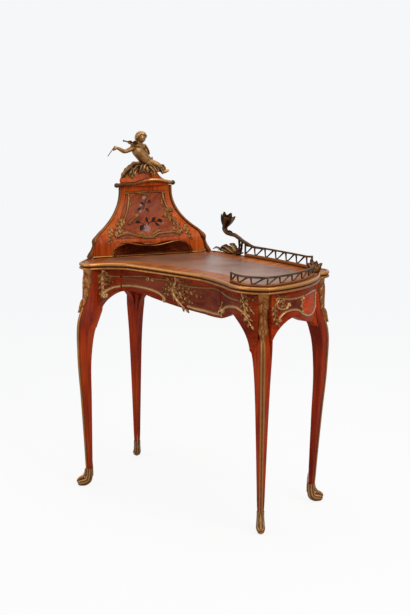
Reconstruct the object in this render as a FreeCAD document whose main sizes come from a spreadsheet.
"""A small kidney-plan writing desk with cabriole legs, frieze drawer, corner cabinet and bronze mounts.

Frame: X runs right along the front, Y to the back, Z up; the origin is on the floor under the desk's middle.
"""
import math
import os
import re

import FreeCAD
import Part
import Sketcher

V = FreeCAD.Vector

# Driving dimensions in millimetres, angles in degrees.
SIZES = {
    # Table top
    "table_height": 750.0,
    "rim_height": 20.0,
    "rim_width": 9.0,
    "rim_bead_height": 7.0,
    "rim_groove_height": 3.0,
    "rim_groove_depth": 4.5,
    "rim_bead_setback": 1.5,
    "rim_lip": 2.0,
    "panel_inset": 66.0,
    "panel_thickness": 3.0,
    "panel_margin": 16.0,
    # Plan of the rim, outer edge
    "ear_radius": 46.0,
    "waist_left_x": -205.0,
    "waist_left_y": -137.0,
    "waist_entry_x": -256.0,
    "waist_entry_y": -163.0,
    "waist_middle_x": -52.0,
    "waist_middle_y": -145.0,
    "waist_right_x": 100.0,
    "waist_right_y": -162.0,
    "shoulder_x": 176.0,
    "shoulder_y": -193.0,
    "cusp_x": 245.0,
    "cusp_y": -230.0,
    "lobe_front_x": 325.0,
    "lobe_front_y": -252.0,
    "lobe_corner_x": 388.0,
    "lobe_corner_y": -225.0,
    "lobe_side_x": 419.4,
    "lobe_side_y": -110.0,
    "back_right_x": 160.0,
    "back_right_y": 186.0,
    "back_break_x": 0.0,
    "back_break_y": 226.0,
    "back_belly_x": -190.0,
    "back_belly_y": 246.2,
    "left_belly_x": -404.0,
    "left_belly_y": -50.0,
    # Legs: toe on the floor, facing angle, outward lean at the top
    "front_left_toe_x": -357.0,
    "front_left_toe_y": -210.0,
    "front_left_angle": 225.0,
    "front_left_lean": 0.0,
    "front_right_toe_x": 356.0,
    "front_right_toe_y": -209.0,
    "front_right_angle": -54.0,
    "front_right_lean": 42.0,
    "back_right_toe_x": 357.0,
    "back_right_toe_y": 134.0,
    "back_right_angle": 45.0,
    "back_right_lean": 26.0,
    "back_left_toe_x": -411.5,
    "back_left_toe_y": 152.0,
    "back_left_angle": 135.0,
    "back_left_lean": 0.0,
    # Leg stations: height, half diagonal of the square section, arris measured outward from the toe
    "foot_height": 34.0,
    "foot_radius": 8.0,
    "foot_out": -22.5,
    "ankle_height": 70.0,
    "ankle_radius": 10.5,
    "ankle_out": -20.5,
    "shin_height": 150.0,
    "shin_radius": 13.0,
    "shin_out": -17.0,
    "calf_height": 290.0,
    "calf_radius": 17.0,
    "calf_out": -10.0,
    "thigh_height": 450.0,
    "thigh_radius": 22.5,
    "thigh_out": -1.5,
    "haunch_height": 560.0,
    "haunch_radius": 28.0,
    "haunch_out": -5.0,
    "knee_height": 620.0,
    "knee_radius": 29.5,
    "knee_out": -22.0,
    "hip_height": 680.0,
    "hip_radius": 29.5,
    "hip_out": -29.0,
    "top_radius": 30.0,
    "top_out": -28.0,
    "post_height": 622.0,
    "post_relief": 0.2,
    # Leg mounts
    "bead_radius": 8.0,
    "bead_proud": 3.0,
    "mount_tip_radius": 4.5,
    "mount_waist_radius": 12.0,
    "mount_body_radius": 18.0,
    "mount_top_radius": 15.0,
    "sabot_wall": 2.5,
    "sabot_heel_height": 22.0,
    "sabot_heel_radius": 16.5,
    "sabot_sole_radius": 15.0,
    "sabot_scroll_radius": 12.0,
    "sabot_scroll_length": 25.0,
    # Apron
    "apron_setback": 18.0,
    "apron_thickness": 22.0,
    "bracket_height": 535.0,
    "apron_reach": 460.0,
    "apron_core_front": 60.0,
    "apron_core_right": 326.0,
    "apron_core_back": 95.0,
    "apron_core_left": 319.0,
    "leg_housing": 18.0,
    "bracket_toe_run": 10.0,
    "bracket_toe_height": 572.0,
    "arch_bracket_x": -281.0,
    "arch_bracket_height": 631.0,
    "joint_left_height": 657.0,
    "arch_x": -192.0,
    "arch_height": 659.5,
    "sweep_start_x": -120.0,
    "sweep_start_height": 650.0,
    "sweep_x": 0.0,
    "sweep_height": 633.5,
    "belly_x": 120.0,
    "belly_height": 626.0,
    "belly_exit_x": 158.0,
    "belly_exit_height": 627.0,
    "joint_right_height": 630.5,
    "rise_x": 230.0,
    "rise_height": 645.0,
    "front_cusp_x": 254.0,
    "front_cusp_height": 659.0,
    "front_bracket_x": 304.0,
    "front_bracket_height": 621.0,
    "front_toe_x": 327.0,
    "front_toe_height": 562.0,
    "front_end_x": 350.0,
    "side_start_y": -200.0,
    "side_toe_y": -196.0,
    "side_toe_height": 590.0,
    "side_bracket_y": -170.0,
    "side_bracket_height": 625.0,
    "side_cusp_y": -108.0,
    "side_cusp_height": 650.0,
    "side_sweep_y": -60.0,
    "side_sweep_height": 629.0,
    "side_belly_y": 20.0,
    "side_belly_height": 615.0,
    "side_fall_y": 72.0,
    "side_fall_height": 605.0,
    "rail_height": 648.0,
    "rail_drop": 12.0,
    "rail_bracket_run": 112.0,
    "rail_bracket_x": 44.0,
    "rail_bracket_height": 630.0,
    # Drawer
    "drawer_left_x": -236.0,
    "drawer_right_x": 190.0,
    "drawer_gap": 0.8,
    "drawer_back_y": 96.0,
    "drawer_floor_height": 668.0,
    "drawer_side_height": 48.0,
    "drawer_board": 10.0,
    "drawer_bottom": 5.0,
    "drawer_groove": 4.0,
    "drawer_side_play": 1.0,
    "runner_width": 14.0,
    "runner_thickness": 12.0,
    "runner_clearance": 3.0,
    # Apron mounts
    "frame_width": 6.0,
    "frame_proud": 4.0,
    "frame_margin": 11.0,
    "cartouche_x": 24.0,
    "cartouche_height": 682.0,
    "cartouche_width": 66.0,
    "cartouche_rise": 74.0,
    "cartouche_proud": 12.0,
    # Corner cabinet, in its own frame: across the front, inward to the corner, up from the top board
    "cabinet_x": -262.7,
    "cabinet_y": 53.5,
    "cabinet_angle": 56.65,
    "cabinet_half_base": 195.0,
    "cabinet_depth": 132.0,
    "cabinet_lean": 16.0,
    "plinth_height": 38.0,
    "bell_lower_radius": 60.0,
    "bell_setback": 71.0,
    "bell_top_height": 209.5,
    "neck_height": 225.0,
    "cabinet_board": 12.0,
    "shelf_height": 46.0,
    "shelf_thickness": 8.0,
    "niche_left": -124.0,
    "niche_right": 146.0,
    "niche_shoulder": 24.0,
    "niche_crest": 43.0,
    "niche_dip": 31.0,
    "niche_dip_x": 8.0,
    "edging_width": 5.0,
    "edging_proud": 4.0,
    "edge_width": 12.0,
    "edge_proud": 5.0,
    "edge_overhang": 4.0,
    "flap_foot_height": 58.0,
    "flap_head_height": 199.0,
    "flap_foot_half_width": 104.0,
    "flap_belly_half_width": 122.0,
    "flap_belly_height": 80.0,
    "flap_head_half_width": 68.0,
    "flap_lean": 9.0,
    "flap_crown": 6.0,
    "flap_clearance": 1.2,
    "flap_rebate": 0.5,
    "flap_frame_margin": 3.0,
    "flap_frame_width": 7.0,
    "flap_frame_proud": 5.0,
    "hinge_radius": 3.0,
    "hinge_pin_radius": 1.5,
    "hinge_play": 0.05,
    "hinge_knuckle": 9.0,
    "hinge_gap": 0.4,
    "hinge_leaf_length": 10.0,
    "hinge_leaf": 1.5,
    "cornice_height": 14.0,
    "cornice_overhang": 9.0,
    "cornice_bow": 12.0,
    "cornice_width": 8.0,
    "cap_height": 40.0,
    # Figure group
    "figure_base_length": 122.0,
    "figure_base_width": 50.0,
    "figure_base_height": 12.0,
    "figure_height": 112.0,
    "figure_shift": 13.0,
    "bow_radius": 1.3,
    # Gallery
    "gallery_inset": 30.0,
    "gallery_thickness": 5.0,
    "gallery_height": 30.0,
    "gallery_rail": 3.5,
    "gallery_post_radius": 3.4,
    "gallery_back_start_x": 2.0,
    "gallery_back_end_x": 304.0,
    "gallery_front_start_x": 236.0,
    "gallery_front_end_y": 40.0,
    "wave_pitch": 50.0,
    "wave_width": 4.2,
    "wave_thickness": 2.4,
    "wave_crest_radius": 8.5,
    "shell_x": 352.0,
    "shell_y": 82.0,
    "shell_angle": 36.0,
    "shell_height": 44.0,
    "shell_width": 62.0,
    "shell_thickness": 8.0,
    "arm_x": 26.0,
    "arm_y": 189.0,
    "arm_angle": -15.5,
    "arm_radius": 4.5,
    "cup_radius": 15.0,
    "cup_height": 30.0,
    "cup_depth": 21.0,
    "cup_wall": 3.0,
    "leaf_start": 38.0,
    "leaf_length": 104.0,
    "leaf_height": 32.0,
    "leaf_thickness": 11.0,
}

doc = FreeCAD.newDocument("writing_desk")
sheet = doc.addObject("Spreadsheet::Sheet", "Sizes")
for row, (alias, number) in enumerate(SIZES.items(), start=1):
    sheet.set(f"A{row}", alias)
    sheet.set(f"B{row}", str(number))
    sheet.setAlias(f"B{row}", alias)
doc.recompute()

nodes = {}
WORD = re.compile(r"[a-z][a-z_0-9]*")


def cells(formula):
    """The formula with each size written as its spreadsheet cell."""
    return WORD.sub(lambda word: f"Sizes.{word[0]}" if word[0] in SIZES else word[0], str(formula))


def number(formula):
    """The present value of a formula of sizes."""
    result = sheet.evalExpression(cells(formula))
    return float(getattr(result, "Value", result))


def bind(thing, **formulas):
    """Tie properties of an object to formulas of sizes."""
    for name, formula in formulas.items():
        thing.setExpression(name, cells(formula))
    return thing


def place(thing, x="0", y="0", z="0", angle=None):
    """Tie an object's position, and its turn about Z, to formulas of sizes."""
    for axis, formula in zip("xyz", (x, y, z)):
        thing.setExpression(f"Placement.Base.{axis}", cells(formula))
    if angle is not None:
        thing.setExpression("Placement.Rotation.Angle", cells(angle))
    return thing


def node(label, thing):
    """Register an object as a finished sub-part."""
    thing.Label = label
    nodes[label] = thing
    return thing


FLAT = FreeCAD.Rotation()
FRONT = FreeCAD.Rotation(V(1, 0, 0), 90)
SIDE = FreeCAD.Rotation(V(1, 1, 1), 120)


def outline(name, path, plane=FLAT):
    """A closed sketch of lines and three-point arcs.

    Each entry of the path is a corner (x, y), with two more formulas where the stretch that leads to it is an
    arc through that further point. Every corner and arc point is dimensioned from the sketch's origin.
    """
    sketch = doc.addObject("Sketcher::SketchObject", name)
    sketch.Placement = FreeCAD.Placement(V(), plane)
    ends = []
    for i, entry in enumerate(path):
        start = V(number(path[i - 1][0]), number(path[i - 1][1]), 0)
        end = V(number(entry[0]), number(entry[1]), 0)
        if len(entry) == 4:
            middle = V(number(entry[2]), number(entry[3]), 0)
            edge = sketch.addGeometry(Part.Arc(start, middle, end), False)
        else:
            edge = sketch.addGeometry(Part.LineSegment(start, end), False)
        forward = (sketch.getPoint(edge, 1) - start).Length < (sketch.getPoint(edge, 2) - start).Length
        first, last = (1, 2) if forward else (2, 1)
        dimension_point(sketch, edge, last, entry[0], entry[1])
        if len(entry) == 4:
            mark = sketch.addGeometry(Part.Point(middle), True)
            dimension_point(sketch, mark, 1, entry[2], entry[3])
            sketch.addConstraint(Sketcher.Constraint("PointOnObject", mark, 1, edge))
        ends.append((edge, first, last))
    for (edge, first, last), (previous, before, after) in zip(ends, ends[-1:] + ends[:-1]):
        sketch.addConstraint(Sketcher.Constraint("Coincident", edge, first, previous, after))
    return sketch


def dimension_point(sketch, geometry, position, x, y):
    """Dimension one point of a sketch from the sketch's origin."""
    for kind, formula in (("DistanceX", x), ("DistanceY", y)):
        rule = sketch.addConstraint(Sketcher.Constraint(kind, -1, 1, geometry, position, number(formula)))
        sketch.setExpression(f"Constraints[{rule}]", cells(formula))


def offset(name, source, distance, ring=False):
    """The source's outline moved by a distance, or the ring between the two."""
    moved = doc.addObject("Part::Offset2D", name)
    moved.Source = source
    moved.Fill = ring
    return bind(moved, Value=distance)


def extrude(name, base, direction, length, both_ways=False):
    """A solid prism on a sketch."""
    prism = doc.addObject("Part::Extrusion", name)
    prism.Base = base
    prism.DirMode = "Custom"
    prism.Dir = V(*direction)
    prism.Solid = True
    prism.Symmetric = both_ways
    return bind(prism, LengthFwd=length)


def cut(name, base, *tools):
    """The base less every tool."""
    result = doc.addObject("Part::Cut", name)
    result.Base = base
    result.Tool = tools[0] if len(tools) == 1 else gather(f"{name}_tools", tools)
    return result


def gather(name, members):
    """Several objects as one compound."""
    compound = doc.addObject("Part::Compound", name)
    compound.Links = list(members)
    return compound


def common(name, base, tool):
    """What two objects share."""
    result = doc.addObject("Part::Common", name)
    result.Base = base
    result.Tool = tool
    return result


def fuse(name, *members):
    """Several solids as one."""
    result = doc.addObject("Part::MultiFuse", name)
    result.Shapes = list(members)
    return result


def box(name, length, width, height, x="0", y="0", z="0", angle=None):
    """A box with bound sizes and place."""
    block = bind(doc.addObject("Part::Box", name), Length=length, Width=width, Height=height)
    return place(block, x, y, z, angle)


def loft(name, sections):
    """A smooth solid through closed sections."""
    body = doc.addObject("Part::Loft", name)
    body.Sections = sections
    body.Solid = True
    body.Ruled = False
    return body


LEGS = ("front_left", "front_right", "back_right", "back_left")
STATIONS = ("foot", "ankle", "shin", "calf", "thigh", "haunch", "knee", "hip", "top")
UNDERSIDE = "(table_height - rim_height)"
BOARD_TOP = "(table_height - rim_lip)"


def station_height(station):
    """Height of a leg station above the floor."""
    return UNDERSIDE if station == "top" else f"{station}_height"


def along_leg(leg, station, inward):
    """Plan position of a point of a leg, measured inward from the arris at a station."""
    height = station_height(station)
    reach = f"({station}_out - {inward} + {leg}_lean * {height} / {UNDERSIDE})"
    x = f"({leg}_toe_x + {reach} * cos({leg}_angle))"
    y = f"({leg}_toe_y + {reach} * sin({leg}_angle))"
    return x, y


def square(name, leg, station, radius, inward):
    """A square section with a corner on the leg's facing direction."""
    section = doc.addObject("Part::RegularPolygon", name)
    section.Polygon = 4
    bind(section, Circumradius=radius)
    x, y = along_leg(leg, station, inward)
    return place(section, x, y, station_height(station), f"{leg}_angle")


def disc(name, leg, out, height, radius):
    """A round section of a shoe, placed outward from the toe."""
    section = bind(doc.addObject("Part::Circle", name), Radius=radius)
    x = f"{leg}_toe_x + ({out}) * cos({leg}_angle)"
    y = f"{leg}_toe_y + ({out}) * sin({leg}_angle)"
    return place(section, x, y, height)


def make_leg(leg):
    """Cabriole leg of square section, its arris facing outward, with the post that takes the apron."""
    sections = [square(f"{leg}_{s}", leg, s, f"{s}_radius", f"{s}_radius") for s in STATIONS]
    levels = ("haunch_height", "post_height", UNDERSIDE)
    blocks = []
    for i, level in enumerate(levels):
        station = "haunch" if i == 0 else "top"
        block = square(f"{leg}_post_{i}", leg, station, f"{station}_radius - post_relief", f"{station}_radius")
        blocks.append(place(block, *along_leg(leg, station, f"{station}_radius"), level, f"{leg}_angle"))
    post = loft(f"{leg}_post", blocks)
    post.Ruled = True
    return node(f"leg_{leg}", fuse(f"leg_{leg}", loft(f"{leg}_shaft", sections), post))


def make_leg_bead(leg, wood):
    """Bronze angle strip over the arris, from the shoe to the corner mount."""
    sections = [square(f"bead_{leg}_{s}", leg, s, "bead_radius", "(bead_radius - bead_proud)") for s in STATIONS]
    reach = "2 * apron_reach"
    stretch = box(f"bead_stretch_{leg}", reach, reach, "haunch_height - ankle_height",
                  "-apron_reach", "-apron_reach", "ankle_height")
    strip = common(f"bead_strip_{leg}", loft(f"bead_{leg}", sections), stretch)
    return node(f"leg_bead_{leg}", cut(f"leg_bead_{leg}", strip, wood))


def make_corner_mount(leg, woods):
    """Foliate bronze mount over the knee, widest below the rim and drawn out to a tip."""
    radii = {"haunch": "mount_tip_radius", "knee": "mount_waist_radius",
             "hip": "mount_body_radius", "top": "mount_top_radius"}
    sections = [square(f"mount_{leg}_{s}", leg, s, r, "0") for s, r in radii.items()]
    return node(f"corner_mount_{leg}", cut(f"corner_mount_{leg}", loft(f"mount_{leg}", sections), *woods))


def make_sabot(leg, wood, bead):
    """Bronze shoe: a sleeve on the ankle that runs out into a scrolled toe."""
    sleeve = "(ankle_radius + sabot_wall)"
    axis = "(ankle_out - ankle_radius)"
    sections = [
        disc(f"sole_{leg}", leg, "-sabot_sole_radius", "0", "sabot_sole_radius"),
        disc(f"heel_{leg}", leg, "-sabot_heel_radius - sabot_wall", "sabot_heel_height", "sabot_heel_radius"),
        disc(f"throat_{leg}", leg, axis, "(sabot_heel_height + ankle_height) / 2", sleeve),
        disc(f"sleeve_{leg}", leg, f"{axis} + {leg}_lean * ankle_height / {UNDERSIDE}", "ankle_height", sleeve),
    ]
    scroll = doc.addObject("Part::Cylinder", f"scroll_{leg}")
    scroll.Placement.Rotation = FreeCAD.Rotation(V(0, 0, 1), number(f"{leg}_angle")).multiply(FRONT)
    bind(scroll, Radius="sabot_scroll_radius", Height="sabot_scroll_length")
    half = "sabot_scroll_length / 2"
    place(
        scroll,
        f"{leg}_toe_x - sabot_scroll_radius * cos({leg}_angle) - {half} * sin({leg}_angle)",
        f"{leg}_toe_y - sabot_scroll_radius * sin({leg}_angle) + {half} * cos({leg}_angle)",
        "sabot_scroll_radius",
    )
    shoe = fuse(f"shoe_{leg}", loft(f"boot_{leg}", sections), scroll)
    return node(f"sabot_{leg}", cut(f"sabot_{leg}", shoe, wood, bead))


def rim_path():
    """Plan of the rim: three rounded ears over legs, a drawn-in front, a lobe on the right and a bowed back."""
    def ear(leg, angle):
        x, y = along_leg(leg, "top", "top_radius")
        return f"{x} + ear_radius * cos({angle})", f"{y} + ear_radius * sin({angle})"

    return [
        ear("front_left", 190) + ("left_belly_x", "left_belly_y"),
        ear("front_left", 296) + ear("front_left", 236),
        ("waist_left_x", "waist_left_y", "waist_entry_x", "waist_entry_y"),
        ("waist_right_x", "waist_right_y", "waist_middle_x", "waist_middle_y"),
        ("cusp_x", "cusp_y", "shoulder_x", "shoulder_y"),
        ("lobe_corner_x", "lobe_corner_y", "lobe_front_x", "lobe_front_y"),
        ear("back_right", -35) + ("lobe_side_x", "lobe_side_y"),
        ear("back_right", 140) + ear("back_right", 45),
        ("back_break_x", "back_break_y", "back_right_x", "back_right_y"),
        ear("back_left", 70) + ("back_belly_x", "back_belly_y"),
        ear("back_left", 215) + ear("back_left", 135),
    ]


def plan_solid(name, inset, bottom, height):
    """A slab on the rim's plan, moved inward by an inset."""
    edge = rim if inset == "0" else offset(f"{name}_plan", rim, f"-({inset})")
    return place(extrude(name, edge, (0, 0, 1), height), z=bottom)


def rail_path(start, end):
    """Elevation of a plain rail between two legs: a bracket at each end and a slack middle."""
    inner = f"{start} + rail_bracket_run"
    outer = f"{end} - rail_bracket_run"
    middle = f"({start} + {end}) / 2"
    return [
        (start, UNDERSIDE),
        (start, "post_height"),
        (f"{start} - leg_housing", "bracket_toe_height"),
        (f"{start} - leg_housing", "bracket_height"),
        (inner, "rail_height", f"{start} + rail_bracket_x", "rail_bracket_height"),
        (outer, "rail_height", middle, "rail_height - rail_drop"),
        (f"{end} + leg_housing", "bracket_height", f"{end} - rail_bracket_x", "rail_bracket_height"),
        (f"{end} + leg_housing", "bracket_toe_height"),
        (end, "post_height"),
        (end, UNDERSIDE),
    ]


def apron_prisms():
    """Elevations of the apron's boards, each carried through the board's curved plan."""
    left = along_leg("front_left", "top", "top_radius")
    right = along_leg("back_right", "top", "top_radius")
    rear = along_leg("back_left", "top", "top_radius")
    face = "(top_radius - post_relief) * cos(45)"
    first = f"({left[0]} + {face})"
    last = f"({right[1]} - {face})"
    paths = {
        "apron_front_left": (FRONT, (0, -1, 0), "apron_core_front", [
            (first, UNDERSIDE),
            (first, "post_height"),
            (f"{first} - leg_housing", "bracket_toe_height"),
            (f"{first} - leg_housing", "bracket_height"),
            (f"{first} - bracket_toe_run", "bracket_toe_height"),
            ("drawer_left_x", "joint_left_height", "arch_bracket_x", "arch_bracket_height"),
            ("drawer_left_x", UNDERSIDE),
        ]),
        "drawer_front": (FRONT, (0, -1, 0), "apron_core_front", [
            ("drawer_left_x + drawer_gap", f"{UNDERSIDE} - drawer_gap"),
            ("drawer_left_x + drawer_gap", "joint_left_height"),
            ("sweep_start_x", "sweep_start_height", "arch_x", "arch_height"),
            ("belly_x", "belly_height", "sweep_x", "sweep_height"),
            ("drawer_right_x - drawer_gap", "joint_right_height", "belly_exit_x", "belly_exit_height"),
            ("drawer_right_x - drawer_gap", f"{UNDERSIDE} - drawer_gap"),
        ]),
        "apron_front_right": (FRONT, (0, -1, 0), "apron_core_front", [
            ("drawer_right_x", UNDERSIDE),
            ("drawer_right_x", "joint_right_height"),
            ("front_cusp_x", "front_cusp_height", "rise_x", "rise_height"),
            ("front_toe_x", "front_toe_height", "front_bracket_x", "front_bracket_height"),
            ("front_end_x", "bracket_height"),
            ("front_end_x", UNDERSIDE),
        ]),
        "apron_right": (SIDE, (1, 0, 0), "apron_core_right", [
            ("side_start_y", UNDERSIDE),
            ("side_start_y", "bracket_height"),
            ("side_toe_y", "side_toe_height"),
            ("side_cusp_y", "side_cusp_height", "side_bracket_y", "side_bracket_height"),
            ("side_belly_y", "side_belly_height", "side_sweep_y", "side_sweep_height"),
            (f"{last} + leg_housing", "bracket_height", "side_fall_y", "side_fall_height"),
            (f"{last} + leg_housing", "bracket_toe_height"),
            (last, "post_height"),
            (last, UNDERSIDE),
        ]),
        "apron_back": (FRONT, (0, 1, 0), "apron_core_back",
                       rail_path(f"({rear[0]} + {face})", f"({right[0]} - {face})")),
        "apron_left": (SIDE, (-1, 0, 0), "apron_core_left",
                       rail_path(f"({left[1]} + {face})", f"({rear[1]} - {face})")),
    }
    prisms = {}
    for label, (plane, direction, core, path) in paths.items():
        sketch = outline(f"{label}_elevation", path, plane)
        prism = extrude(f"{label}_prism", sketch, direction, "apron_reach")
        prisms[label] = place(prism, f"{direction[0]} * {core}", f"{direction[1]} * {core}")
    return prisms


def make_apron(legs):
    """Five fixed boards and the drawer front, all cut from one curved band under the top."""
    height = f"{UNDERSIDE} - bracket_height"
    outer = plan_solid("apron_outer", "apron_setback", "bracket_height", height)
    inner = plan_solid("apron_inner", "apron_setback + apron_thickness", "bracket_height", height)
    band = cut("apron_band", outer, inner)
    boards = {}
    for label, prism in apron_prisms().items():
        board = common(f"{label}_board", band, prism)
        boards[label] = node(label, board if label == "drawer_front" else cut(label, board, *legs.values()))
    return boards, inner, outer


def make_top():
    """Top board with its sunk writing panel, and the bronze rim of two mouldings with a groove between."""
    board = plan_solid("board", "rim_width", UNDERSIDE, "rim_height - rim_lip")
    field = plan_solid("field", "panel_inset", f"{BOARD_TOP} - panel_thickness", "panel_thickness")
    behind = box("field_limit", "2 * apron_reach", "apron_reach", "panel_thickness")
    place(
        behind,
        "cabinet_x - apron_reach * cos(cabinet_angle) + panel_margin * sin(cabinet_angle)",
        "cabinet_y - apron_reach * sin(cabinet_angle) - panel_margin * cos(cabinet_angle)",
        f"{BOARD_TOP} - panel_thickness",
        "cabinet_angle",
    )
    panel = node("writing_panel", cut("writing_panel", field, behind))
    node("top_board", cut("top_board", board, panel))
    groove_bottom = f"{UNDERSIDE} + rim_bead_height"
    groove_top = f"{groove_bottom} + rim_groove_height"
    lower = plan_solid("rim_lower", "rim_bead_setback", UNDERSIDE, "rim_bead_height")
    groove = plan_solid("rim_groove", "rim_groove_depth", groove_bottom, "rim_groove_height")
    upper = plan_solid("rim_upper", "0", groove_top, "rim_height - rim_bead_height - rim_groove_height")
    core = plan_solid("rim_core", "rim_width", UNDERSIDE, "rim_height")
    return node("top_rim", cut("top_rim", fuse("rim_layers", lower, groove, upper), core))


def make_drawer(inner):
    """Drawer box behind the shaped front, with the two runners that carry it."""
    front_y = "(waist_left_y + apron_setback + apron_thickness - drawer_board)"
    depth = f"(drawer_back_y - {front_y})"
    space = "(drawer_gap + drawer_side_play + runner_width)"
    left = f"(drawer_left_x + {space})"
    right = f"(drawer_right_x - {space})"
    floor = "drawer_floor_height"
    groove = box("drawer_bottom_space", f"{right} - {left} - 2 * drawer_board + 2 * drawer_groove",
                 f"{depth} - drawer_board + drawer_groove", "drawer_bottom",
                 f"{left} + drawer_board - drawer_groove", front_y, f"{floor} + drawer_groove")
    front = nodes["drawer_front"]
    for side, x in {"left": left, "right": f"({right} - drawer_board)"}.items():
        board = box(f"drawer_{side}_blank", "drawer_board", depth, "drawer_side_height", x, front_y, floor)
        node(f"drawer_side_{side}", cut(f"drawer_side_{side}", board, groove, front))
    width = f"({right} - {left} - 2 * drawer_board)"
    back = box("drawer_back_blank", width, "drawer_board", "drawer_side_height",
               f"{left} + drawer_board", "drawer_back_y - drawer_board", floor)
    node("drawer_back", cut("drawer_back", back, groove))
    node("drawer_bottom", cut("drawer_bottom", groove, front))
    runner = "(2 * runner_width + drawer_gap)"
    starts = {"left": ("drawer_left_x - runner_width / 2", "waist_left_y"),
              "right": ("drawer_right_x - 3 * runner_width / 2 - drawer_gap", "waist_right_y")}
    for side, (x, front_edge) in starts.items():
        strip = box(f"runner_{side}_blank", runner, "2 * apron_reach", "runner_thickness",
                    x, "-apron_reach", f"{floor} - runner_thickness")
        stop = f"{front_edge} + apron_setback + apron_thickness + runner_clearance"
        notch = box(f"runner_{side}_notch", "drawer_right_x - drawer_left_x + 2 * drawer_gap",
                    f"apron_reach + {stop}", "runner_thickness",
                    "drawer_left_x - drawer_gap", "-apron_reach", f"{floor} - runner_thickness")
        fitted = common(f"runner_{side}_fitted", strip, inner)
        node(f"drawer_runner_{side}", cut(f"drawer_runner_{side}", fitted, notch))


def frame_on(label, sketch, direction, skin, width):
    """A flat bronze frame of a set width, laid on a curved face."""
    ring = offset(f"{label}_ring", sketch, f"-{width}", ring=True)
    band = extrude(f"{label}_band", ring, direction, "apron_reach")
    place(band, f"{direction[0]} * apron_core_right", f"{direction[1]} * apron_core_front")
    return common(label, skin, band)


def make_apron_mounts(outer):
    """Bronze frames on the drawer, the front's right end and the right side, and the drawer's cartouche."""
    height = f"{UNDERSIDE} - bracket_height"
    proud = plan_solid("frame_outer", "apron_setback - frame_proud", "bracket_height", height)
    skin = cut("frame_skin", proud, outer)
    top = f"{UNDERSIDE} - frame_margin"
    low = "frame_margin"
    drawer_left = "drawer_left_x + drawer_gap + frame_margin"
    drawer_right = "drawer_right_x - drawer_gap - frame_margin"
    drawer = outline("drawer_frame_elevation", [
        (drawer_left, top),
        (drawer_left, f"arch_height + {low}"),
        ("sweep_start_x", f"sweep_start_height + {low}", "arch_x", f"arch_height + {low}"),
        ("belly_x", f"belly_height + {low}", "sweep_x", f"sweep_height + {low}"),
        (drawer_right, f"joint_right_height + {low}", "belly_exit_x", f"belly_exit_height + {low}"),
        (drawer_right, top),
    ], FRONT)
    frame = frame_on("drawer_frame_blank", drawer, (0, -1, 0), skin, "frame_width")
    front = outline("front_frame_elevation", [
        ("drawer_right_x + frame_margin", top),
        ("drawer_right_x + frame_margin", f"joint_right_height + 2 * {low}"),
        ("front_cusp_x", f"front_cusp_height + {low}", "rise_x", f"rise_height + {low}"),
        ("front_bracket_x", f"front_bracket_height + 2 * {low}",
         "(front_cusp_x + front_bracket_x) / 2", f"front_cusp_height + {low} - frame_width / 2"),
        ("front_bracket_x", top),
    ], FRONT)
    node("apron_frame_front", frame_on("apron_frame_front", front, (0, -1, 0), skin, "frame_width"))
    side = outline("side_frame_elevation", [
        ("side_bracket_y", top),
        ("side_bracket_y", f"side_cusp_height - {low}"),
        ("side_cusp_y", f"side_cusp_height + {low}",
         "(side_bracket_y + side_cusp_y) / 2", f"side_cusp_height + {low} / 2"),
        ("side_belly_y", f"side_belly_height + {low}", "side_sweep_y", f"side_sweep_height + {low}"),
        ("side_fall_y", f"side_belly_height + {low} * 2",
         "(side_belly_y + side_fall_y) / 2", f"side_belly_height + {low} + frame_width / 2"),
        ("side_fall_y", top),
    ], SIDE)
    node("apron_frame_right", frame_on("apron_frame_right", side, (1, 0, 0), skin, "frame_width"))
    shell = cartouche_plan()
    thick = plan_solid("cartouche_outer", "apron_setback - cartouche_proud", "bracket_height", height)
    crust = cut("cartouche_skin", thick, outer)
    cartouche = common("cartouche_shell", crust, extrude("cartouche_prism", shell, (0, -1, 0), "apron_reach"))
    node("drawer_cartouche", cartouche)
    node("drawer_frame", cut("drawer_frame", frame, cartouche))


def cartouche_plan():
    """Elevation of the cartouche: a leaning shell of five lobes that meet in cusps."""
    lobes = 5
    path = []
    for i in range(lobes):
        turn = 360.0 / lobes
        corner = 90.0 + turn * i
        crown = corner - turn / 2
        path.append((
            f"cartouche_x + 0.36 * cartouche_width * cos({corner})",
            f"cartouche_height + 0.36 * cartouche_rise * sin({corner})",
            f"cartouche_x + 0.5 * cartouche_width * cos({crown})",
            f"cartouche_height + 0.5 * cartouche_rise * sin({crown})",
        ))
    return outline("cartouche_elevation", path, FRONT)


def seat_cabinet(label, thing):
    """Register a piece of the corner cabinet and carry it from the cabinet's frame to the desk's."""
    place(thing, "cabinet_x", "cabinet_y", BOARD_TOP, "cabinet_angle")
    return node(label, thing)


def bell_path(shift):
    """Side profile of the bell front, moved inward by a shift: plinth, swell, hollow and neck."""
    turn = "2 * atan(bell_setback / (bell_top_height - plinth_height))"
    swell_in = f"bell_lower_radius * (1 - cos({turn}))"
    swell_up = f"bell_lower_radius * sin({turn})"
    half_in = f"bell_lower_radius * (1 - cos({turn} / 2))"
    half_up = f"bell_lower_radius * sin({turn} / 2)"
    upper = f"((bell_top_height - plinth_height) / sin({turn}) - bell_lower_radius)"
    hollow_in = f"bell_setback - {upper} * (1 - cos({turn} / 2))"
    hollow_up = f"bell_top_height - {upper} * sin({turn} / 2)"
    rear = "cabinet_depth + cabinet_board"
    return [
        (f"{shift}", "-plinth_height"),
        (f"{shift}", "plinth_height"),
        (f"{shift} + {swell_in}", f"plinth_height + {swell_up}",
         f"{shift} + {half_in}", f"plinth_height + {half_up}"),
        (f"{shift} + bell_setback", "bell_top_height", f"{shift} + {hollow_in}", hollow_up),
        (f"{shift} + bell_setback", "neck_height"),
        (rear, "neck_height"),
        (rear, "-plinth_height"),
    ]


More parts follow.
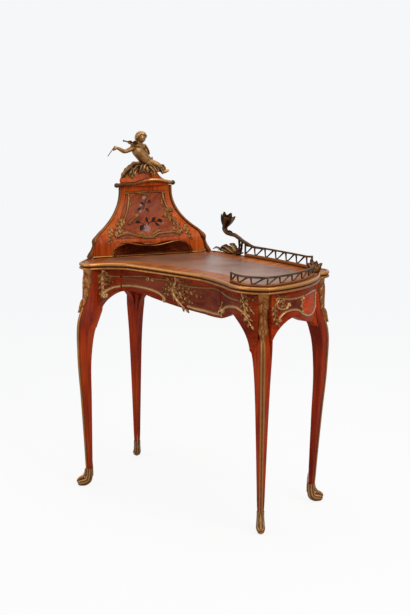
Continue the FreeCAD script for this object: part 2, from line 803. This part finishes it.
def bell(name, shift):
    """Everything behind the bell front's surface, moved inward by a shift."""
    sketch = outline(f"{name}_profile", bell_path(shift), SIDE)
    return extrude(name, sketch, (1, 0, 0), "2 * (cabinet_half_base + cabinet_board)", both_ways=True)


def flap_path(gap):
    """Elevation of the flap, drawn in by a gap all round: rounded foot corners, tapering sides, arched head."""
    foot = f"flap_foot_height + {gap}"
    head = f"flap_head_height - {gap}"
    belly_out = f"(flap_belly_half_width - {gap})"
    head_out = f"(flap_head_half_width - {gap})"
    corner_out = f"({belly_out} - 0.25 * (flap_belly_half_width - flap_foot_half_width))"
    corner_height = f"{foot} + 0.32 * (flap_belly_height - flap_foot_height)"
    flank_out = f"(0.46 * {belly_out} + 0.54 * {head_out} - 2 * flap_crown)"
    flank_height = "0.46 * flap_belly_height + 0.54 * flap_head_height"
    flank_lean = "0.54 * flap_lean"
    return [
        ("flap_foot_half_width", foot),
        (belly_out, "flap_belly_height", corner_out, corner_height),
        (f"flap_lean + {head_out}", head, f"{flank_lean} + {flank_out}", flank_height),
        (f"flap_lean - {head_out}", head, "flap_lean", f"{head} + flap_crown"),
        (f"-{belly_out}", "flap_belly_height", f"{flank_lean} - {flank_out}", flank_height),
        ("-flap_foot_half_width", foot, f"-{corner_out}", corner_height),
    ]


def elevation(name, path):
    """A prism through the bell front on an elevation of it."""
    return extrude(name, outline(f"{name}_sketch", path, FRONT), (0, 1, 0), "2 * cabinet_depth", both_ways=True)


def make_cabinet():
    """Corner cabinet: two plain sides, bell front with niche and flap, shelf, cornice and domed cap."""
    corner = outline("cabinet_plan", [
        ("-cabinet_half_base", "0"), ("cabinet_half_base", "0"), ("cabinet_lean", "cabinet_depth")])
    prism = extrude("cabinet_prism", corner, (0, 0, 1), "neck_height")
    outer = bell("bell_outer", "0")
    inner = bell("bell_inner", "cabinet_board")
    proud = bell("bell_proud", "-edge_proud")
    inlaid = bell("bell_inlaid", "-edging_proud")
    left = side_slab("left")
    right = side_slab("right")
    carcase = common("carcase", inner, prism)
    seat_cabinet("cabinet_side_left", common("cabinet_side_left", carcase, left))
    seat_cabinet("cabinet_side_right", cut("cabinet_side_right", common("right_blank", carcase, right), left))
    opening = elevation("flap_opening", flap_path("0"))
    niche_sketch = outline("niche_elevation", [
        ("niche_left", "-plinth_height"),
        ("niche_right", "-plinth_height"),
        ("niche_right", "niche_shoulder"),
        ("niche_dip_x", "niche_dip", "(2 * niche_right + niche_dip_x) / 3", "niche_crest"),
        ("niche_left", "niche_shoulder", "(2 * niche_left + niche_dip_x) / 3", "niche_crest"),
    ], FRONT)
    niche = extrude("niche_opening", niche_sketch, (0, 1, 0), "2 * cabinet_depth", both_ways=True)
    shell = cut("bell_front", common("bell_solid", outer, prism), inner)
    shelf_slab = box("shelf_slab", "2 * cabinet_half_base", "cabinet_depth", "shelf_thickness",
                     "-cabinet_half_base", "0", "shelf_height")
    seat_cabinet("cabinet_shelf", cut("cabinet_shelf", common("shelf_blank", carcase, shelf_slab), left, right))
    hinge = make_hinge()
    seat_cabinet("cabinet_front", cut("cabinet_front", shell, opening, niche, hinge["fixed_room"]))
    behind = bell("bell_flap", "cabinet_board - flap_rebate")
    leaf = cut("flap_shell", common("flap_solid", outer, prism), behind)
    flap = common("flap_blank", leaf, elevation("flap_prism", flap_path("flap_clearance")))
    seat_cabinet("flap", cut("flap", flap, hinge["moving_room"]))
    grown = prism_grown()
    skin = cut("edge_skin", common("edge_space", proud, grown), outer)
    for side, slab in (("left", edge_slab("left")), ("right", edge_slab("right"))):
        seat_cabinet(f"cabinet_edge_{side}", common(f"cabinet_edge_{side}", skin, slab))
    thin = cut("edging_skin", common("edging_space", inlaid, grown), outer)
    edging = extrude("edging_band", offset("edging_ring", niche_sketch, "edging_width", ring=True),
                     (0, 1, 0), "2 * cabinet_depth", both_ways=True)
    seat_cabinet("niche_edging", common("niche_edging", thin, edging))
    frame_skin = cut("flap_skin", bell("bell_frame", "-flap_frame_proud"), outer)
    frame_sketch = outline("flap_frame_elevation", flap_path("flap_frame_margin"), FRONT)
    frame_ring = offset("flap_frame_ring", frame_sketch, "-flap_frame_width", ring=True)
    frame_band = extrude("flap_frame_band", frame_ring, (0, 1, 0), "2 * cabinet_depth", both_ways=True)
    seat_cabinet("flap_frame", cut("flap_frame", common("flap_frame_blank", frame_skin, frame_band),
                                   hinge["barrel_room"]))
    make_cabinet_head()


def side_slab(side):
    """A board along one of the cabinet's two hidden sides, run on past both its corners."""
    sign = -1 if side == "left" else 1
    run = f"(cabinet_half_base - {sign} * cabinet_lean)"
    length = f"sqrt({run} * {run} + cabinet_depth * cabinet_depth)"
    along = (f"(-{sign} * {run} / {length})", f"(cabinet_depth / {length})")
    inward = (f"(-{sign} * cabinet_depth / {length})", f"(-{run} / {length})")

    def corner(share, depth):
        start = (f"{sign} * cabinet_half_base", "0")
        return tuple(f"{start[i]} + {share} * {length} * {along[i]} + {depth} * {inward[i]}" for i in (0, 1))

    ends = ("-0.1", "1.1")
    corners = [corner(share, "0") for share in ends]
    corners += [corner(share, "cabinet_board") for share in reversed(ends)]
    plan = outline(f"side_plan_{side}", corners)
    return extrude(f"side_slab_{side}", plan, (0, 0, 1), "neck_height")


def prism_grown():
    """The cabinet's plan with its overhanging edges."""
    plan = outline("edge_plan", [
        ("-cabinet_half_base - edge_overhang", "-edge_proud"),
        ("cabinet_half_base + edge_overhang", "-edge_proud"),
        ("cabinet_half_base + edge_overhang", "0"),
        ("cabinet_lean * (1 + edge_overhang / cabinet_half_base)",
         "cabinet_depth * (1 + edge_overhang / cabinet_half_base)"),
        ("-cabinet_half_base - edge_overhang", "0"),
    ])
    return extrude("edge_prism", plan, (0, 0, 1), "neck_height")


def edge_slab(side):
    """A strip along one edge of the bell front, parallel to the cabinet's side."""
    sign = -1 if side == "left" else 1
    growth = "(1 + edge_overhang / cabinet_half_base)"
    out = f"{sign} * (cabinet_half_base + edge_overhang)"
    step = f"{sign} * edge_width"
    plan = outline(f"edge_strip_{side}", [
        (out, "-2 * edge_proud"),
        (out, "0"),
        (f"cabinet_lean * {growth}", f"cabinet_depth * {growth}"),
        (f"cabinet_lean * {growth} - {step}", f"cabinet_depth * {growth}"),
        (f"{out} - {step}", "0"),
        (f"{out} - {step}", "-2 * edge_proud"),
    ])
    return extrude(f"edge_strip_{side}_solid", plan, (0, 0, 1), "neck_height")


def rod(name, radius, length, u, v, w):
    """A round bar along the cabinet's front."""
    bar = bind(doc.addObject("Part::Cylinder", name), Radius=radius, Height=length)
    bar.Placement.Rotation = FreeCAD.Rotation(V(0, 1, 0), 90)
    return place(bar, u, v, w)


def make_hinge():
    """Five-knuckle hinge under the flap: three knuckles and a leaf on the front, two and a leaf on the flap."""
    turn = "asin((flap_foot_height - plinth_height) / bell_lower_radius)"
    axis_v = f"(bell_lower_radius * (1 - cos({turn})) - hinge_radius / 2)"
    axis_w = "flap_foot_height"
    pitch = "(hinge_knuckle + hinge_gap)"
    total = "(5 * hinge_knuckle + 4 * hinge_gap)"
    start = f"(-{total} / 2)"
    knuckles = {"fixed": (0, 2, 4), "moving": (1, 3)}
    levels = {"fixed": f"{axis_w} - hinge_gap / 2 - hinge_leaf", "moving": f"{axis_w} + hinge_gap / 2"}
    bores = {"fixed": "hinge_pin_radius", "moving": "hinge_pin_radius + hinge_play"}
    pin = rod("hinge_pin_rod", "hinge_pin_radius", total, start, axis_v, axis_w)
    seat_cabinet("hinge_pin", gather("hinge_pin", [pin]))
    rooms = {"barrel_room": rod("barrel_room", "hinge_radius + hinge_gap", f"{total} + 2 * hinge_gap",
                                f"{start} - hinge_gap", axis_v, axis_w)}
    for kind, places in knuckles.items():
        other = knuckles["moving" if kind == "fixed" else "fixed"]
        barrels = []
        for i in places:
            at = f"{start} + {i} * {pitch}"
            barrels.append(rod(f"barrel_{i}", "hinge_radius", "hinge_knuckle", at, axis_v, axis_w))
        leaf = box(f"leaf_{kind}", total, "hinge_leaf_length", "hinge_leaf", start, axis_v, levels[kind])
        swept = [rod(f"swept_{i}", "hinge_radius + hinge_gap", "hinge_knuckle + 2 * hinge_gap",
                     f"{start} + {i} * {pitch} - hinge_gap", axis_v, axis_w) for i in other]
        bore = rod(f"bore_{kind}", bores[kind], f"{total} + 2 * hinge_gap",
                   f"{start} - hinge_gap", axis_v, axis_w)
        trimmed = cut(f"leaf_{kind}_trimmed", leaf, *swept)
        solid = fuse(f"hinge_{kind}_solid", trimmed, *barrels)
        seat_cabinet(f"hinge_{kind}", cut(f"hinge_{kind}", solid, bore))
        rooms[f"{kind}_room"] = gather(f"{kind}_room", [
            box(f"leaf_{kind}_bed", total, "hinge_leaf_length", "hinge_leaf", start, axis_v, levels[kind]),
            rooms["barrel_room"],
        ])
    return rooms


# How far the neck's middle stands to the right of the base's
NECK_LEAN = "(cabinet_lean * bell_setback / cabinet_depth)"


def head_path(scale, shift=0.0):
    """Plan of the cabinet's head, drawn in about its middle and moved along the front: bowed front, plain sides."""
    half = "(cabinet_half_base * (cabinet_depth - bell_setback) / cabinet_depth + cornice_overhang)"
    front = "(bell_setback - cornice_overhang)"
    back = "(cabinet_depth + cornice_overhang / 2)"
    middle = f"({front} * 0.6 + {back} * 0.4)"

    def at(u, v):
        return f"{NECK_LEAN} + ({shift}) + ({scale}) * ({u})", f"{middle} + ({scale}) * ({v} - {middle})"

    return [
        at(f"cabinet_lean - {NECK_LEAN}", back),
        at(f"-{half}", front),
        at(half, front) + at("0", f"({front} - cornice_bow)"),
    ]


# Sections of the domed cap: share of the head's plan, share of the cap's height, move along the front
CAP_RINGS = ((0.88, 0.0, -6.0), (0.76, 0.25, -15.0), (0.63, 0.58, -13.0), (0.52, 0.88, -9.0),
             (0.48, 1.0, -8.0))


def make_cabinet_head():
    """Top board of the cabinet, the bronze cornice round it, and the domed cap."""
    whole = outline("cornice_plan", head_path("1"))
    plate = place(extrude("cornice_plate", whole, (0, 0, 1), "cornice_height"), z="neck_height")
    inside = offset("cornice_inside", whole, "-cornice_width")
    board = place(extrude("cornice_board", inside, (0, 0, 1), "cornice_height"), z="neck_height")
    seat_cabinet("cabinet_cornice", cut("cabinet_cornice", plate, board))
    seat_cabinet("cabinet_top", gather("cabinet_top", [board]))
    sections = []
    for i, (scale, rise, shift) in enumerate(CAP_RINGS):
        ring = outline(f"cap_plan_{i}", head_path(str(scale), shift))
        sections.append(place(ring, z=f"neck_height + cornice_height + {rise} * cap_height"))
    seat_cabinet("cabinet_cap", loft("cabinet_cap", sections))


def sculpture(label, shape):
    """Register a cast or carved piece whose form is worked out from the sizes."""
    piece = doc.addObject("Part::Feature", label)
    piece.Shape = shape
    return node(label, piece)


# Radius of a limb between its joints, as a share of the joints' own
SLIMMER = 0.96


def limb(points, radii):
    """A tapering limb: round joints at the points, joined by slightly slimmer cones."""
    parts = [Part.makeSphere(r, p) for p, r in zip(points, radii)]
    for a, b, r1, r2 in zip(points, points[1:], radii, radii[1:]):
        axis = b - a
        start = SLIMMER * r1
        end = SLIMMER * r2
        if start == end:
            parts.append(Part.makeCylinder(start, axis.Length, a, axis))
        else:
            parts.append(Part.makeCone(start, end, axis.Length, a, axis))
    return parts


def tube(points, radii):
    """A smooth round bar of changing radius through points."""
    curve = Part.BSplineCurve()
    curve.interpolate(points)
    sections = []
    for point, radius in zip(points, radii):
        parameter = curve.parameter(point)
        circle = Part.Circle(point, curve.tangent(parameter)[0], radius)
        sections.append(Part.Wire([circle.toShape()]))
    return Part.makeLoft(sections, True, False)


def gallery_line(inside):
    """Points along the middle of the gallery, in order, where a test of x and y holds."""
    wire = doc.getObject("gallery_middle").Shape.Wires[0]
    line = wire.discretize(Distance=2.0)
    chosen = [inside(p) for p in line]
    first = next(i for i, on in enumerate(chosen) if on and not chosen[i - 1])
    ordered = line[first:] + line[:first]
    count = next(i for i, p in enumerate(ordered) if not inside(p))
    return ordered[:count]


def wave_face():
    """One wave of the running ornament in its own plane: a slanting stem, a round crest and a drop."""
    pitch = number("wave_pitch")
    width = number("wave_width")
    outer = number("wave_crest_radius")
    inner = outer - width
    foot = number("gallery_rail / 2")
    crest = V(0.66 * pitch, number("gallery_height - gallery_rail / 2") - outer, 0)
    slant = math.radians(128)

    def on_crest(radius, angle):
        return crest + V(radius * math.cos(angle), radius * math.sin(angle), 0)

    outer_arc = Part.Arc(on_crest(outer, slant), on_crest(outer, slant / 2), on_crest(outer, 0))
    inner_arc = Part.Arc(on_crest(inner, 0), on_crest(inner, slant / 2), on_crest(inner, slant))
    drop_outer = V(crest.x + outer, foot, 0)
    drop_inner = V(crest.x + inner, foot, 0)
    stem_outer = V(0, foot, 0)
    stem_inner = V(width * 1.6, foot, 0)
    edges = [
        Part.LineSegment(stem_outer, on_crest(outer, slant)),
        outer_arc,
        Part.LineSegment(on_crest(outer, 0), drop_outer),
        Part.LineSegment(drop_outer, drop_inner),
        Part.LineSegment(drop_inner, on_crest(inner, 0)),
        inner_arc,
        Part.LineSegment(on_crest(inner, slant), stem_inner),
        Part.LineSegment(stem_inner, stem_outer),
    ]
    return Part.Face(Part.Wire([edge.toShape() for edge in edges]))


def make_gallery(label, limit, inside):
    """A length of pierced gallery: two rails with a running wave ornament between them."""
    rails = []
    for level in ("0", "gallery_height - gallery_rail"):
        name = f"{label}_rail_{len(rails)}"
        bottom = f"{BOARD_TOP} + {level}"
        outer = plan_solid(f"{name}_outer", "gallery_inset - gallery_thickness / 2", bottom, "gallery_rail")
        inner = plan_solid(f"{name}_inner", "gallery_inset + gallery_thickness / 2", bottom, "gallery_rail")
        rails.append(common(name, cut(f"{name}_ring", outer, inner), limit))
    doc.recompute()
    line = gallery_line(inside)
    pitch = number("wave_pitch")
    run = [0.0]
    for a, b in zip(line, line[1:]):
        run.append(run[-1] + (b - a).Length)
    count = int(run[-1] / pitch)
    start = (run[-1] - count * pitch) / 2
    face = wave_face()
    thickness = number("wave_thickness")
    waves = []
    for i in range(count):
        low = start + i * pitch
        a = next(p for p, s in zip(line, run) if s >= low)
        b = next((p for p, s in zip(line, run) if s >= low + 0.85 * pitch), line[-1])
        along = (b - a).normalize()
        across = V(0, 0, 1).cross(along)
        wave = face.extrude(V(0, 0, thickness))
        wave.translate(V(0, 0, -thickness / 2))
        upright = FreeCAD.Rotation(along, V(0, 0, 1), -across, "XYZ")
        seat = FreeCAD.Placement(V(a.x, a.y, number(BOARD_TOP)), upright)
        wave.Placement = seat.multiply(wave.Placement)
        waves.append(wave)
    ends = []
    for p in (line[0], line[-1]):
        foot = V(p.x, p.y, number(BOARD_TOP))
        ends.append(Part.makeCylinder(number("gallery_post_radius"), number("gallery_height"), foot))
    whole = rails[0].Shape.multiFuse([rails[1].Shape] + waves + ends)
    return sculpture(label, whole)


def make_galleries():
    """The back and front lengths of the gallery round the lobe."""
    offset("gallery_middle", rim, "-gallery_inset")
    doc.recompute()
    reach = "apron_reach"
    back_limit = box("gallery_back_limit", "gallery_back_end_x - gallery_back_start_x", reach, reach,
                     "gallery_back_start_x", "apron_core_back", BOARD_TOP)
    front_limit = box("gallery_front_limit", reach, f"{reach} + gallery_front_end_y", reach,
                      "gallery_front_start_x", f"-{reach}", BOARD_TOP)
    low, high = number("gallery_back_start_x"), number("gallery_back_end_x")
    left, far = number("gallery_front_start_x"), number("gallery_front_end_y")
    core = number("apron_core_back")
    back = make_gallery("gallery_back", back_limit, lambda p: low <= p.x <= high and p.y > core)
    front = make_gallery("gallery_front", front_limit, lambda p: p.x >= left and p.y <= far)
    return back, front


def fan(width, height, thickness, lobes):
    """A shell standing on its hinge: a fan of lobes with a flat foot."""
    edges = []
    foot = width * 0.28
    corners = []
    for i in range(lobes + 1):
        angle = math.radians(180.0 * (1 - i / lobes))
        corners.append(V(0.46 * width * math.cos(angle), 0.25 * height + 0.65 * height * math.sin(angle), 0))
    for i, (a, b) in enumerate(zip(corners, corners[1:])):
        angle = math.radians(180.0 * (1 - (i + 0.5) / lobes))
        crown = V(0.5 * width * math.cos(angle), 0.25 * height + 0.75 * height * math.sin(angle), 0)
        edges.append(Part.Arc(a, crown, b))
    right, left = V(foot, 0, 0), V(-foot, 0, 0)
    edges.append(Part.LineSegment(corners[-1], right))
    edges.append(Part.LineSegment(right, left))
    edges.append(Part.LineSegment(left, corners[0]))
    solid = Part.Face(Part.Wire([edge.toShape() for edge in edges])).extrude(V(0, 0, thickness))
    solid.translate(V(0, 0, -thickness / 2))
    return solid


def make_shell(neighbours):
    """Shell at the back right corner, fitted between the two lengths of gallery and the rim."""
    shape = fan(number("shell_width"), number("shell_height"), number("shell_thickness"), 7)
    turn = FreeCAD.Rotation(V(0, 0, 1), number("shell_angle")).multiply(FRONT)
    shape.Placement = FreeCAD.Placement(V(number("shell_x"), number("shell_y"), number(BOARD_TOP)), turn)
    sculpture("gallery_shell", shape.cut([piece.Shape for piece in neighbours]))


# Candle arm's line in its own upright plane: along the gallery, up from the board, share of the stem's radius
ARM_LINE = ((0, 28, 1.0), (-38, 59, 1.0), (-70, 69, 0.9), (-102, 69, 0.9), (-124, 82, 1.0), (-120, 99, 1.1),
            (-112, 116, 1.4))
# Stay between the arm and the leaf, in the same plane
STAY_HEAD = V(-44, 56, 0)
STAY_FOOT = V(-48, 19, 0)
# Scrolled upper edge of the rocaille leaf: end and crown of each curl, as shares of its length and height
LEAF_CURLS = (((0.12, 0.8), (-0.03, 0.45)), ((0.5, 0.66), (0.34, 1.0)), ((0.74, 0.3), (0.66, 0.62)),
              ((1.0, 0.0), (0.9, 0.36)))


def leaf_face():
    """Elevation of the rocaille leaf: a straight foot and a line of falling curls."""
    root = -number("leaf_start")
    length = number("leaf_length")
    tall = number("leaf_height")

    def at(share):
        return V(root - share[0] * length, share[1] * tall, 0)

    tip = at((1.0, 0.0))
    edges = [Part.LineSegment(tip, at((0.0, 0.0)))]
    start = at((0.0, 0.0))
    for end, crown in LEAF_CURLS:
        edges.append(Part.Arc(start, at(crown), at(end)))
        start = at(end)
    return Part.Face(Part.Wire([edge.toShape() for edge in edges]))


def make_arm(galleries):
    """Candle arm: an S-curved stem from the gallery's rail to a leafy cup, and the leaf that stays it."""
    thickness = number("leaf_thickness")
    leaf = leaf_face().extrude(V(0, 0, thickness))
    leaf.translate(V(0, 0, -thickness / 2))
    radius = number("arm_radius")
    path = [V(x, y, 0) for x, y, share in ARM_LINE]
    stem = tube(path, [radius * share for x, y, share in ARM_LINE])
    stay = limb([STAY_HEAD, STAY_FOOT], [0.8 * radius, 0.8 * radius])
    lean = (path[-1] - path[-2]).normalize()
    root = radius * ARM_LINE[-1][2]
    lip = number("cup_radius")
    tall = number("cup_height")
    floor = path[-1] + lean * (tall - number("cup_depth"))
    cup = Part.makeCone(root, lip, tall, path[-1], lean)
    well = Part.makeCone(root / 2, lip - number("cup_wall"), number("cup_depth"), floor, lean)
    arm = stem.multiFuse(stay + [cup]).cut(well)
    turn = FreeCAD.Rotation(V(0, 0, 1), number("arm_angle")).multiply(FRONT)
    seat = FreeCAD.Placement(V(number("arm_x"), number("arm_y"), number(BOARD_TOP)), turn)
    leaf.Placement = seat
    arm.Placement = seat
    leaf = leaf.cut([piece.Shape for piece in galleries])
    sculpture("rocaille_leaf", leaf)
    sculpture("candle_arm", arm.cut([leaf] + [piece.Shape for piece in galleries]))


# Seated child for a figure this high: joints across the cabinet's front, inward, up from the base, and radius
CHILD_HEIGHT = 112.0
CHILD = {
    "trunk": ((10, -2, 10, 15), (-2, -4, 31, 15), (-20, -6, 56, 15)),
    "shoulders": ((-38, -14, 62, 8), (-20, -6, 62, 11), (2, 4, 64, 8)),
    "neck": ((-18, -6, 68, 8), (-10, -8, 90, 7)),
    "drapery": ((4, 10, 66, 6), (18, 12, 50, 6), (24, 10, 32, 5)),
    "far_leg": ((12, -4, 10, 13), (44, -14, 0, 8.5), (72, -19, -16, 5.5), (86, -21, -14, 4)),
    "near_leg": ((6, -8, 10, 13), (14, -30, 8, 8.5), (13, -43, -22, 5.5), (17, -52, -30, 4.5)),
    "violin_arm": ((-20, -4, 64, 7), (-46, -2, 66, 5.5), (-62, -22, 78, 5)),
    "bow_arm": ((-38, -14, 62, 7.5), (-77, -26, 53, 6), (-105, -34, 63, 4.5), (-118, -38, 58, 5)),
}
CHILD_HEAD = (-9, -8, 95, 17)
VIOLIN_BODY = ((-32, -26, 78, 8), (-48, -27, 79, 6.5))
VIOLIN_NECK = ((-48, -27, 79, 2.2), (-75, -28, 85, 2))
BOW_ENDS = ((-138, -44, 35), (-110, -36, 68))


def make_figure():
    """Seated bronze child with a violin, on a rocky base over the cabinet's cap."""
    share = number("figure_height") / CHILD_HEIGHT
    cap_top = number("neck_height + cornice_height + cap_height")
    tall = number("figure_base_height")
    middle = number("bell_setback * 0.6 + cabinet_depth * 0.4")
    shift = number("figure_shift")

    def at(joint):
        return V(shift + joint[0] * share, middle + joint[1] * share, cap_top + tall + joint[2] * share)

    def modelled(joints):
        return limb([at(joint) for joint in joints], [joint[3] * share for joint in joints])

    stretch = FreeCAD.Matrix()
    stretch.scale(V(number("figure_base_length / 2"), number("figure_base_width / 2"), tall))
    mound = Part.makeSphere(1.0).transformGeometry(stretch)
    mound.translate(V(shift, middle, cap_top))
    reach = number("figure_base_length")
    mound = mound.common(Part.makeBox(3 * reach, 2 * reach, 2 * tall, V(-reach, middle - reach, cap_top)))
    body = [Part.makeSphere(CHILD_HEAD[3] * share, at(CHILD_HEAD))]
    for joints in CHILD.values():
        body += modelled(joints)
    figure = body[0].multiFuse(body[1:])
    violin = modelled(VIOLIN_BODY) + modelled(VIOLIN_NECK)
    violin = violin[0].multiFuse(violin[1:])
    frog, tip = (at(end) for end in BOW_ENDS)
    bow = Part.makeCylinder(number("bow_radius"), (tip - frog).Length, frog, tip - frog)
    violin = violin.cut(bow)
    cap = doc.getObject("cabinet_cap").Shape.copy()
    cap.Placement = FreeCAD.Placement()
    figure = figure.cut([violin, bow, mound, cap])
    turn = FreeCAD.Rotation(V(0, 0, 1), number("cabinet_angle"))
    seat = FreeCAD.Placement(V(number("cabinet_x"), number("cabinet_y"), number(BOARD_TOP)), turn)
    for label, shape in (("figure_base", mound), ("figure", figure), ("violin", violin), ("violin_bow", bow)):
        piece = sculpture(label, shape)
        piece.Placement = seat.multiply(piece.Placement)


rim = outline("rim_plan", rim_path())
legs = {leg: make_leg(leg) for leg in LEGS}
boards, apron_inner, apron_outer = make_apron(legs)
fixed_boards = [board for label, board in boards.items() if label != "drawer_front"]
for leg in LEGS:
    bead = make_leg_bead(leg, legs[leg])
    make_corner_mount(leg, [legs[leg]] + fixed_boards)
    make_sabot(leg, legs[leg], bead)
make_top()
make_drawer(apron_inner)
make_apron_mounts(apron_outer)
make_cabinet()
doc.recompute()
galleries = make_galleries()
make_shell([*galleries, nodes["top_rim"]])
make_arm(galleries)
make_figure()
doc.recompute()

failed = [thing.Name for thing in doc.Objects if {"Invalid", "Error"} & set(thing.State)]
for label, thing in nodes.items():
    if thing.Shape.isNull() or not thing.Shape.isValid() or len(thing.Shape.Solids) != 1:
        failed.append(label)
if failed:
    raise SystemExit(f"not built: {failed}")
os.makedirs("parts", exist_ok=True)
for label, thing in nodes.items():
    thing.Shape.exportStep(f"parts/{label}.step")
